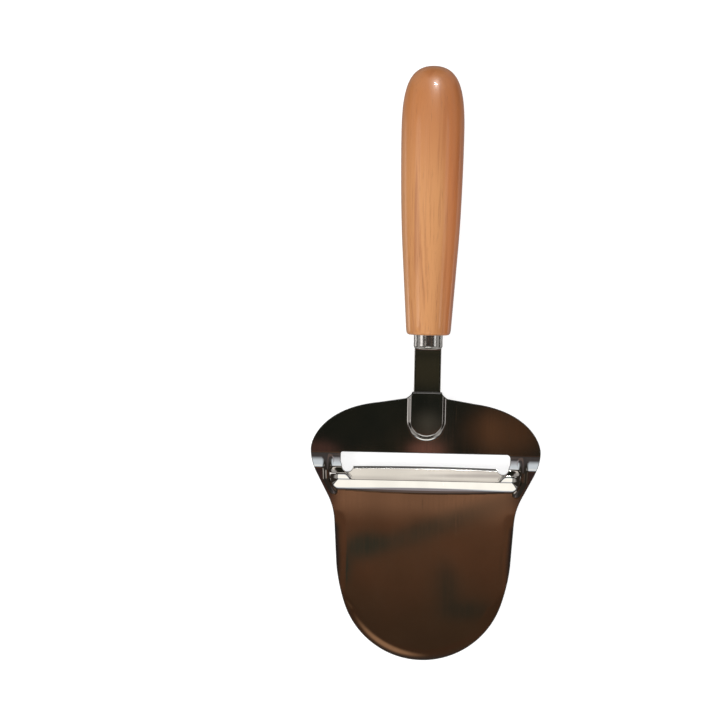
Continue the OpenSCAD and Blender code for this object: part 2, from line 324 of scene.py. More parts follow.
def middle(x, s):
    """Height of the middle of the sheet at (x, s)."""
    beside = np.where(s > BESIDE_S, 1.0, smooth(BESIDE_FROM, BESIDE_TO, np.abs(x)))
    z = TONGUE_Z + step_height(s) * beside + np.where(s < BESIDE_S, ridge_height(x, s), 0)
    return rib_shape(x, s, z) + np.where(s > TUNNEL_FROM, tunnel_height(x, s), 0) - rim_drop(x, s)


def edge_line(x):
    """Place of the cutting edge: a slight bow towards the handle."""
    return EDGE_S + EDGE_BOW * (1 - (x / EDGE_HALF) ** 2)


def top_offset(x, s):
    """Height of the upper face over the middle of the sheet: less on the ground bevel."""
    back = edge_line(x) - s
    ground = (EDGE_LAND - SHEET_T) + SHEET_T * np.clip(back / BEVEL_L, 0, 1)
    on_lip = (np.abs(x) < EDGE_HALF + 0.02) & (s < 77)
    ground = np.minimum(0, ground - EDGE_LAND * (back >= BEVEL_L))
    return np.where(on_lip, HALF_T + ground, HALF_T)


def face_height(x, s, side):
    """Height of the upper face (side 1) or the lower face (side -1)."""
    return middle(x, s) + (top_offset(x, s) if side > 0 else -HALF_T)


def face_point(x, s, side):
    """Points of a face."""
    return np.stack([x, s, face_height(x, s, side)], -1)


def face_normal(x, s, side):
    """Unit normals of a face, from differences over a hundredth of a millimetre."""
    e = 0.01
    dx = (face_height(x + e, s, side) - face_height(x - e, s, side)) / (2 * e)
    ds = (face_height(x, s + e, side) - face_height(x, s - e, side)) / (2 * e)
    n = np.stack([-dx, -ds, np.ones_like(dx)], -1)
    return side * n / np.linalg.norm(n, axis=-1, keepdims=True)


def plate_outline():
    """The sheet's outer edge: tip, flank, waist, shoulder and the tab over the neck."""
    tip_a = math.acos((TIP_R - TIP_END) / TIP_R)
    a = np.linspace(0, tip_a, 70)
    tip = np.stack([TIP_R * np.sin(a), TIP_R - TIP_R * np.cos(a)], 1)
    end = tip[-1]
    tongue, waist = np.array([34.0, 38.0]), np.array([35.0, 53.0])
    side = unit(waist - tongue)
    flank = unit([1, 2])
    flank_a, flank_b = np.array([37.7, 63.5]), np.array([42.45, 72.5])
    widest = np.array([44.85, 81.7])
    back_edge, back_end = np.array([19.1, 100.4]), np.array([8.6, 102.1])
    tab = np.array([5.85, 104.8])
    along_tip = np.array([math.cos(tip_a), math.sin(tip_a)])
    half = np.vstack([
        tip,
        bezier(end, end + 5.4 * along_tip, tongue - 4.9 * side, tongue, 30),
        bezier(waist, waist + 2.6 * side, flank_a - 5 * flank, flank_a, 24),
        bezier(flank_b, flank_b + 3.2 * flank, widest - [0, 3.2], widest, 20),
        bezier(widest, widest + [0, 4.9], back_edge + [20, -2.4], back_edge, 70),
        bezier(back_end, back_end + [-1.5, 0.3], tab + [0.3, -1.3], tab - [0, 0.35], 12),
        arc(tab - [0.35, 0.35], 0.35, 0, 90, 4),
    ])
    return resampled(mirrored(half), 0.6)


def slot_outline():
    """The slot: cutting edge, notches, sides, and an upper left corner sharper than the right."""
    x = np.linspace(0, EDGE_HALF, 60)
    edge = np.stack([x, edge_line(x)], 1)
    notch = arc((NOTCH_X, EDGE_S), NOTCH_R, 180, 365, 26)
    halves = []
    for corner_r in (SLOT_CORNER, SLOT_CORNER / 2):
        corner = arc((SLOT_HALF - corner_r, SLOT_TOP - corner_r), corner_r, 0, 90, 10)
        flare = [(SLOT_HALF - 0.35, EDGE_S + 0.9), (SLOT_HALF, EDGE_S + 1.8)]
        halves.append(np.vstack([edge, notch, flare, corner]))
    loop = np.vstack([halves[0], halves[1][::-1] * [-1, 1]])
    return resampled(without_repeats(loop), 0.3)


def outward(loop):
    """Unit normals of a closed counter-clockwise loop, pointing out of it."""
    nxt, prv = np.roll(loop, -1, 0), np.roll(loop, 1, 0)
    a, b = loop - prv, nxt - loop
    a /= np.linalg.norm(a, axis=1, keepdims=True)
    b /= np.linalg.norm(b, axis=1, keepdims=True)
    n = np.stack([(a + b)[:, 1], -(a + b)[:, 0]], 1)
    return n / np.linalg.norm(n, axis=1, keepdims=True)


def grid(x0, x1, s0, s1, dx, ds):
    """Points dx by ds apart over a box."""
    xs = np.linspace(x0, x1, int(round((x1 - x0) / dx)) + 1)
    ss = np.linspace(s0, s1, int(round((s1 - s0) / ds)) + 1)
    return np.stack(np.meshgrid(xs, ss), -1).reshape(-1, 2)


def box_filter(points, x0, x1, s0, s1):
    """Which points lie in a box given for the right half, on either side."""
    ax = np.abs(points[:, 0])
    return (ax > x0) & (ax < x1) & (points[:, 1] > s0) & (points[:, 1] < s1)


def sheet_points(rim, slot_loop):
    """Inner points of the sheet: coarse where it is flat, fine where it bends."""
    coarse = grid(-46, 46, 0, 105, 2.4, 2.4)
    folds = box_filter(coarse, -1, 47, 63.8, 82.5) & ~box_filter(coarse, -1, 30, 80.5, 83)
    crowded = folds | box_filter(coarse, -1, 11.5, 82, 106)
    lip = grid(-31, 31, 64.6, 75.9, 0.6, 0.24)
    lip = lip[~box_filter(lip, 27.4, 31.1, 64, 76)]
    ends = grid(27.5, 46, 62.6, 81.6, 0.27, 0.24)
    ends = ends[(ends[:, 0] > 31.05) | (ends[:, 1] > 76)]
    corner = grid(27.5, 31.0, 64.6, 76, 0.27, 0.24)
    ends, corner = (p[~box_filter(p, 27.95, 38.25, 68.45, 76.25)] for p in (ends, corner))
    fine = grid(28, 38.2, 68.5, 76.2, 0.15, 0.14)
    points = [coarse[~crowded], lip]
    for part in (ends, corner, fine):
        points += [part, part * [-1, 1]]
    # rows that follow the tunnel's wall
    for rho in np.concatenate([np.arange(0.8, 5.2, 0.8), np.arange(5.3, 9.6, 0.13), [10.2]]):
        run = np.arange(TUNNEL_S, 104.7, 0.55)
        sides = [np.stack([np.full(len(run), m * rho), run], 1) for m in (-1, 1)]
        n = max(4, int(math.pi * rho / 0.4))
        points += sides + [arc((0, TUNNEL_S), rho, 180, 360, n)[1:-1]]
    # rows along the crest, the bevel's upper line and the tongue's edge
    x = np.linspace(-28.2, 28.2, 140)
    for off in (-0.3, -0.1, -0.05, 0.0, 0.05, 0.1, 0.3):
        points.append(np.stack([x, np.full(len(x), CREST_S + off)], 1))
    x = np.linspace(-EDGE_HALF + 0.3, EDGE_HALF - 0.3, 180)
    for back in (BEVEL_L + 0.03, BEVEL_L - 0.03):
        points.append(np.stack([x, edge_line(x) - back], 1))
    for inset in (0.3, 0.8, 1.4, 2.0, 2.8, 3.6, 4.5):
        ring = rim - outward(rim) * inset
        points.append(ring[ring[:, 1] < 60])
    points = np.vstack(points)
    points = points[inside(points, rim) & ~inside(points, slot_loop)]
    clear = np.minimum(distance(points, rim), distance(points, slot_loop))
    points = points[clear > 0.1]
    # thin out points that crowd each other
    cell = {}
    for p in points:
        cell.setdefault((int(round(p[0] / 0.05)), int(round(p[1] / 0.05))), p)
    return np.array(list(cell.values()))


RIM_STEPS = 4
RIM_R = 0.24  # rounding of the sheet's edges
TAB_INSET, TAB_UPPER, TAB_LOWER = 0.75, 0.62, 0.1  # the tab's end is rounded more


def build_blade(material):
    """The pressed sheet: two faces over one set of points, and rounded rims between them."""
    loops = []
    for loop, sign in ((plate_outline(), 1), (slot_outline(), -1)):
        x, s = loop[:, 0], loop[:, 1]
        thick = top_offset(x, s) + HALF_T
        tab = (s > TAB_S) & (np.abs(x) < TAB_HALF)
        plain = np.minimum(RIM_R, thick * 0.45)
        inset = np.where(tab, TAB_INSET, plain)
        upper = np.where(tab, TAB_UPPER, plain)
        lower = np.where(tab, TAB_LOWER, upper)
        n = outward(loop) * sign
        # painted shade: every rim of the outline, and the slot's rims from s 79 up, are painted
        # near black
        dark = np.where(s < 79, 0.0, 1.0) if sign < 0 else np.ones(len(loop))
        loops.append((loop - n * inset[:, None], n, inset, upper, lower, dark))
    inner = sheet_points(loops[0][0], loops[1][0])
    points = np.vstack([l[0] for l in loops] + [inner])
    edges, start = [], 0
    for loop in loops:
        k = len(loop[0])
        edges += [(start + i, start + (i + 1) % k) for i in range(k)]
        start += k
    flat, _, tris, orig, _, _ = delaunay_2d_cdt([Vector(p) for p in points], edges, [], 0, 1e-5)
    flat = np.array([tuple(p) for p in flat])
    tris = np.array(tris)
    centre = flat[tris].mean(1)
    tris = tris[inside(centre, loops[0][0]) & ~inside(centre, loops[1][0])]
    index = {old: new for new, olds in enumerate(orig) for old in olds}
    x, s = flat[:, 0], flat[:, 1]
    a, b, c = (flat[tris[:, i]] for i in range(3))
    area = np.cross(b - a, c - a)
    tris[area < 0] = tris[area < 0][:, ::-1]
    count = len(flat)
    back = edge_line(x) - s
    on_bevel = (np.abs(x) < EDGE_HALF + 0.02) & (back < BEVEL_L - 0.02) & (back > -0.5)
    # per point: 0.5 on the ground bevel; the rims' painted shade is added below
    grind_and_rim_shade = [0.5 * on_bevel, np.zeros(count)]
    verts = [face_point(x, s, 1), face_point(x, s, -1)]
    normals = [face_normal(x, s, 1), face_normal(x, s, -1)]
    faces = [tuple(t) for t in tris] + [tuple(t[::-1] + count) for t in tris]
    total = 2 * count
    start = 0
    for loop, n, inset, upper, lower, dark in loops:
        k = len(loop)
        ids = np.array([index[start + i] for i in range(k)])
        px, ps = flat[ids, 0], flat[ids, 1]
        rings = [ids]
        for side, rise in ((1, upper), (-1, lower)):
            level = face_height(px, ps, side)
            up = face_normal(px, ps, side)
            out = np.concatenate([n, np.zeros((k, 1))], 1)
            out -= up * (out * up).sum(1, keepdims=True)
            out /= np.linalg.norm(out, axis=1, keepdims=True)
            angles = np.linspace(0, math.pi / 2, RIM_STEPS + 1)[1:]
            for a in angles if side > 0 else angles[::-1]:
                reach, drop = inset * math.sin(a), rise * (1 - math.cos(a))
                place = np.stack([px, ps, level], -1)
                place = place + out * reach[:, None] - up * drop[:, None]
                place[:, 1] = np.maximum(place[:, 1], 0)
                tilt = up * math.cos(a) / rise[:, None] + out * math.sin(a) / inset[:, None]
                verts.append(place)
                normals.append(tilt / np.linalg.norm(tilt, axis=1, keepdims=True))
                grind_and_rim_shade.append(dark)
                rings.append(np.arange(total, total + k))
                total += k
        rings.append(ids + count)
        turn = 1 if start == 0 else -1
        for a, b in zip(rings, rings[1:]):
            for i in range(k):
                j = (i + 1) % k
                quad = (a[i], b[i], b[j], a[j])
                faces.append(quad if turn > 0 else quad[::-1])
        start += k
    verts, normals = np.vstack(verts), np.vstack(normals)
    piece = make_piece(
        "pressed_plate", verts, faces, material, ["blade"], normals)
    # the ground bevel and the rims' painted shade, read by the steel's shader
    mask = piece.data.attributes.new("grind_and_painted_rim_shade", "FLOAT", "POINT")
    mask.data.foreach_set("value", np.concatenate(grind_and_rim_shade))


# ---------------------------------------------------------------- turned and swept pieces
def turned(profile, around):
    """Vertices and faces of a profile [radius, distance along the axis] turned about Y."""
    angles = np.linspace(0, 2 * math.pi, around, endpoint=False)
    verts, faces, rings = [], [], []
    for r, y in profile:
        if r < 1e-6:
            rings.append([len(verts)] * around)
            verts.append((0, y, 0))
        else:
            rings.append(list(range(len(verts), len(verts) + around)))
            verts += [(r * math.sin(a), y, r * math.cos(a)) for a in angles]
    for a, b in zip(rings, rings[1:]):
        for i in range(around):
            j = (i + 1) % around
            face = []
            for v in (a[i], a[j], b[j], b[i]):
                if v not in face:
                    face.append(v)
            if len(face) > 2:
                faces.append(tuple(face))
    return on_axis(np.array(verts)), faces


def handle_profile():
    """From the bottom of the bore over the tenon, the neck and the belly to the round end."""
    belly = np.array([BELLY_R, HANDLE_END - BELLY_U])
    taper = np.array([TAPER_R, HANDLE_END - TAPER_U])
    neck = np.array([NECK_R, HANDLE_AT])
    slope = unit(taper - neck)
    straight = [neck + (taper - neck) * t for t in np.linspace(0.06, 1, 24)[:-1]]
    return np.vstack([
        [(0, TANG_END + 4), (BORE_R, TANG_END + 2), (BORE_R, TENON_AT), (TENON_R, TENON_AT),
         (TENON_R, HANDLE_AT), (NECK_R - NECK_ROUND - 0.6, HANDLE_AT)],
        arc((NECK_R - NECK_ROUND, HANDLE_AT + NECK_ROUND), NECK_ROUND, -90, -4, 12),
        straight,
        bezier(taper, taper + 14 * slope, belly - [0, 9], belly, 34)[:-1],
        bezier(belly, belly + [0, 15.97], [10.2, HANDLE_END], [0, HANDLE_END], 64),
    ])


def swell(u, centre, half):
    """A smooth bump of height 1."""
    return 0.5 + 0.5 * np.cos(np.pi * np.clip((u - centre) / half, -1, 1))


def ferrule_profile():
    """A cup with a rounded end, a shallow groove and a faint bead against the wood."""
    rim, groove, bead = 1.3, 0.04, 0.012
    u = np.linspace(FERRULE_AT + rim + 0.05, HANDLE_AT, 60)
    r = FERRULE_R - groove * swell(u, FERRULE_AT + 3.0, 1.4)
    r = r + bead * swell(u, FERRULE_AT + 4.85, 0.6)
    return np.vstack([
        [(0, FERRULE_AT)],
        arc((FERRULE_R - rim, FERRULE_AT + rim), rim, -90, 0, 14),
        np.stack([r, u], 1),
        [(TENON_R, HANDLE_AT), (TENON_R, TENON_AT), (0, TENON_AT)],
    ])


def build_handle(material):
    verts, faces = turned(handle_profile()[::-1], 160)
    make_piece("turned_handle", verts, faces, material, ["handle"])


def build_ferrule(material):
    verts, faces = turned(ferrule_profile()[::-1], 128)
    make_piece("ferrule_cup", verts, faces, material, ["ferrule"])


def strip_section(half_w, half_t, r, n=5):
    """Rounded rectangle, counter-clockwise seen from the tip: [x, height]."""
    r = min(r, half_w * 0.8, half_t * 0.8)
    guard = 0.92 * (half_w - r)  # these points keep the broad faces flat under smooth shading
    rows = []
    for cx, cy, a in ((1, 1, 0), (-1, 1, 90), (-1, -1, 180), (1, -1, 270)):
        rows.append(arc((cx * (half_w - r), cy * (half_t - r)), r, a, a + 90, n))
        if cx == cy:
            rows.append([(cx * guard, cy * half_t), (-cx * guard, cy * half_t)])
    return np.vstack(rows)


def build_shank(material):
    """The neck: round nose under the plate, straight strip, and a narrower tang in the handle."""
    half, nose, shoulder = SHANK_W / 2, TUNNEL_S - BEND_S, TENON_AT
    stations = []  # place along the strip from the bend, half width
    for a in np.radians(np.linspace(84, 0, 16)):
        stations.append((nose - half * math.sin(a), half * math.cos(a)))
    stations += [(v, half) for v in np.linspace(nose + 1, -1.2, 10)]
    stations += [(v, half) for v in np.linspace(0, shoulder - 0.3, 18)]
    stations += [(shoulder, half - 0.1), (shoulder + 0.1, TANG_W / 2)]
    stations += [(shoulder + v, TANG_W / 2) for v in range(1, 9)]
    stations += [(TANG_END - 0.6, TANG_W / 2), (TANG_END, TANG_W / 2 - 0.5)]
    verts, faces, rings = [], [], []
    for v, w in stations:
        # the strip is level outside the ferrule and swings on to the handle axis inside it
        t = smooth(LEVEL_TO, LEVEL_TO + LEVEL_BLEND, v)
        level, axis = np.array([0, BEND_S + v, BEND_Z]), on_axis([0, v, 0])
        place = level * (1 - t) + axis * t
        c, s = math.cos(TILT * t), math.sin(TILT * t)
        section = strip_section(w, SHANK_T / 2, STRIP_R)
        rings.append(range(len(verts), len(verts) + len(section)))
        verts += [place + np.array([p[0], -s * p[1], c * p[1]]) for p in section]
    for a, b in zip(rings, rings[1:]):
        k = len(a)
        faces += [(a[i], a[(i + 1) % k], b[(i + 1) % k], b[i]) for i in range(k)]
    faces += [tuple(reversed(rings[0])), tuple(rings[-1])]
    make_piece("neck_strip", np.array(verts), faces, material, ["shank"])


# ---------------------------------------------------------------- materials
class Graph:
    """A short way to write node trees."""

    def __init__(self, tree):
        self.tree = tree
        tree.nodes.clear()

    def node(self, kind, inputs=None, **settings):
        n = self.tree.nodes.new(kind)
        for key, value in settings.items():
            setattr(n, key, value)
        for key, value in (inputs or {}).items():
            self.set(n.inputs[key], value)
        return n

    def set(self, socket, value):
        if isinstance(value, bpy.types.NodeSocket):
            self.tree.links.new(value, socket)
        else:
            socket.default_value = value

    def math(self, operation, a, b=0.0, c=0.0, clamp=False):
        n = self.node("ShaderNodeMath", operation=operation, use_clamp=clamp)
        for i, v in enumerate((a, b, c)):
            self.set(n.inputs[i], v)
        return n.outputs[0]

    def range(self, value, lo, hi, out_lo=0.0, out_hi=1.0, kind="SMOOTHSTEP"):
        n = self.node("ShaderNodeMapRange", interpolation_type=kind)
        keys = ("Value", "From Min", "From Max", "To Min", "To Max")
        for key, v in zip(keys, (value, lo, hi, out_lo, out_hi)):
            self.set(n.inputs[key], v)
        return n.outputs["Result"]

    def mix(self, factor, a, b):
        n = self.node("ShaderNodeMix", data_type="RGBA")
        self.set(n.inputs["Factor"], factor)
        self.set(n.inputs[6], a)
        self.set(n.inputs[7], b)
        return n.outputs[2]

    def noise(self, vector, scale, detail=2.0, rough=0.5, distortion=0.0):
        n = self.node("ShaderNodeTexNoise", {
            "Vector": vector, "Scale": scale, "Detail": detail, "Roughness": rough,
            "Distortion": distortion})
        return n.outputs["Fac"]

    def stretched(self, vector, scale, turn=(0, 0, 0)):
        n = self.node("ShaderNodeMapping")
        self.set(n.inputs["Vector"], vector)
        n.inputs["Rotation"].default_value = turn
        n.inputs["Scale"].default_value = scale
        return n.outputs["Vector"]


def new_material(name):
    """A material with its node graph, shader and the object coordinates."""
    material = bpy.data.materials.new(name)
    material.use_nodes = True
    g = Graph(material.node_tree)
    shader = g.node("ShaderNodeBsdfPrincipled")
    out = g.node("ShaderNodeOutputMaterial")
    g.tree.links.new(shader.outputs[0], out.inputs[0])
    place = g.node("ShaderNodeTexCoord").outputs["Object"]
    return material, g, shader, place


def rgb(r, g, b):
    return (r, g, b, 1.0)


def polished_steel(name, scratches=0.5, satin=0.0):
    """Mirror-polished steel: fine lines along the tool, faint clouding, a few scratches.

    The mesh attribute read here marks the ground bevel (0.5), darker and rougher, and the rims (1),
    which are painted near black as painted shade.
    """
    material, g, shader, place = new_material(name)
    grind_and_rim_shade = g.node("ShaderNodeAttribute", attribute_name="grind_and_painted_rim_shade").outputs["Fac"]
    lines = g.noise(g.stretched(place, (1, 0.02, 1)), 2600, 3, 0.6)
    clouds = g.noise(place, 45, 3, 0.55)
    marks_a = g.noise(g.stretched(place, (1, 0.035, 1), (0, 0, 0.12)), 900, 1, 0.4)
    marks_b = g.noise(g.stretched(place, (1, 0.05, 1), (0, 0, -0.9)), 700, 1, 0.4)
    marks = g.math("MAXIMUM", g.range(marks_a, 0.74, 0.80), g.range(marks_b, 0.76, 0.82))
    marks = g.math("MULTIPLY", marks, g.range(g.noise(place, 60, 1), 0.5, 0.62, 0, scratches))
    tint = g.mix(g.range(clouds, 0.3, 0.7), rgb(0.60, 0.59, 0.575), rgb(0.68, 0.67, 0.655))
    tint = g.mix(marks, tint, rgb(0.8, 0.79, 0.77))
    # painted shade: the rims are near black and half metallic; the ground bevel goes halfway
    g.set(shader.inputs["Base Color"], g.mix(grind_and_rim_shade, tint, rgb(0.045, 0.042, 0.04)))
    g.set(shader.inputs["Metallic"], g.math("MULTIPLY_ADD", grind_and_rim_shade, -0.5, 1.0))
    rough = g.range(lines, 0.35, 0.7, 0.022 + satin, 0.036 + satin)
    rough = g.math("ADD", rough, g.range(clouds, 0.35, 0.75, 0.0, 0.012))
    rough = g.math("ADD", rough, g.math("MULTIPLY", marks, 0.2))
    ground = g.math("MULTIPLY", grind_and_rim_shade, 0.6, clamp=True)
    g.set(shader.inputs["Roughness"], g.math("MAXIMUM", rough, ground))
    bump = g.node("ShaderNodeBump", {"Strength": 0.2, "Distance": 0.0000006})
    g.set(bump.inputs["Height"], lines)
    soft = g.node("ShaderNodeBump", {"Strength": 0.25, "Distance": 0.00004})
    g.set(soft.inputs["Height"], g.noise(place, 30, 1, 0.4))
    g.set(soft.inputs["Normal"], bump.outputs[0])
    g.set(shader.inputs["Normal"], soft.outputs[0])
    return material


def varnished_wood(name):
    """Light cherry wood, grain along the handle, under clear varnish."""
    material, g, shader, place = new_material(name)
    grain = g.stretched(place, (1, 1, 1), (-TILT, 0, 0))
    sway = g.noise(g.stretched(grain, (1, 0.12, 1)), 90, 2, 0.5)
    bands = g.noise(g.stretched(grain, (1, 0.035, 1)), 230, 3, 0.55, 0.6)
    broad = g.noise(g.stretched(grain, (1, 0.05, 1)), 75, 2, 0.5, 0.4)
    fibre = g.noise(g.stretched(grain, (1, 0.016, 1)), 1500, 4, 0.65)
    flecks = g.noise(g.stretched(grain, (1, 0.05, 1)), 1700, 2, 0.5)
    light, base = rgb(0.70, 0.315, 0.115), rgb(0.57, 0.228, 0.072)
    dark = rgb(0.36, 0.110, 0.032)
    colour = g.mix(g.range(broad, 0.35, 0.68), light, base)
    colour = g.mix(g.math("MULTIPLY", g.range(bands, 0.5, 0.70), 0.62), colour, dark)
    colour = g.mix(g.math("MULTIPLY", g.range(fibre, 0.5, 0.72), 0.36), colour, dark)
    swayed = g.math("MULTIPLY", g.range(sway, 0.55, 0.8), 0.35)
    colour = g.mix(swayed, colour, rgb(0.66, 0.33, 0.15))
    # painted shade: the handle's right side is painted darker and redder, its border wavering with
    # the grain
    parts = g.node("ShaderNodeSeparateXYZ")
    g.set(parts.inputs[0], place)
    right_shade = g.range(g.math("MULTIPLY_ADD", sway, 0.008, parts.outputs[0]), 0.0065, 0.0125, 0.0, 0.8)
    red = g.mix(g.range(bands, 0.4, 0.65), rgb(0.64, 0.185, 0.045), rgb(0.48, 0.12, 0.030))
    colour = g.mix(right_shade, colour, red)
    # and the round end is a little darker
    towards_end = g.range(parts.outputs[1], 0.060, 0.102, 0.0, 0.7)
    colour = g.mix(towards_end, colour, rgb(0.52, 0.175, 0.050))
    pores = g.range(flecks, 0.64, 0.74)
    colour = g.mix(g.math("MULTIPLY", pores, 0.30), colour, rgb(0.26, 0.11, 0.045))
    g.set(shader.inputs["Base Color"], colour)
    g.set(shader.inputs["Roughness"], g.range(fibre, 0.3, 0.75, 0.34, 0.46))
    # the varnish is thickest next to the ferrule
    g.set(shader.inputs["Coat Weight"], g.range(parts.outputs[1], 0.045, 0.012, 0.45, 0.95))
    shader.inputs["Coat Roughness"].default_value = 0.06
    bump = g.node("ShaderNodeBump", {"Strength": 0.35, "Distance": 0.00004})
    g.set(bump.inputs["Height"], g.math("SUBTRACT", g.math("MULTIPLY", fibre, 0.6), pores))
    g.set(shader.inputs["Normal"], bump.outputs[0])
    return material


def hardened_glue(name):
    """Yellowed epoxy with small bubbles."""
    material, g, shader, place = new_material(name)
    cloud = g.noise(place, 400, 3, 0.6)
    colour = g.mix(cloud, rgb(0.62, 0.50, 0.28), rgb(0.80, 0.72, 0.50))
    g.set(shader.inputs["Base Color"], colour)
    g.set(shader.inputs["Roughness"], g.range(cloud, 0.3, 0.7, 0.25, 0.45))
    bump = g.node("ShaderNodeBump", {"Strength": 0.4, "Distance": 0.0001})
    g.set(bump.inputs["Height"], g.noise(place, 1500, 2, 0.5))
    g.set(shader.inputs["Normal"], bump.outputs[0])
    return material


def weld_metal(name):
    """Fused steel with heat tint."""
    material, g, shader, place = new_material(name)
    cloud = g.noise(place, 700, 4, 0.6)
    colour = g.mix(cloud, rgb(0.30, 0.27, 0.26), rgb(0.52, 0.48, 0.42))
    g.set(shader.inputs["Base Color"], colour)
    shader.inputs["Metallic"].default_value = 1.0
    g.set(shader.inputs["Roughness"], g.range(cloud, 0.3, 0.7, 0.35, 0.6))
    bump = g.node("ShaderNodeBump", {"Strength": 0.5, "Distance": 0.0001})
    g.set(bump.inputs["Height"], cloud)
    g.set(shader.inputs["Normal"], bump.outputs[0])
    return material


def pale_floor(name):
    """Plain pale card, lit a little from within so that it stays even."""
    material, g, shader, place = new_material(name)
    tone = g.noise(place, 3, 2)
    g.set(shader.inputs["Base Color"], g.mix(tone, rgb(0.60, 0.60, 0.60), rgb(0.64, 0.64, 0.64)))
    shader.inputs["Roughness"].default_value = 0.9
    shader.inputs["Emission Color"].default_value = rgb(1, 1, 1)
    shader.inputs["Emission Strength"].default_value = 0.7
    return material


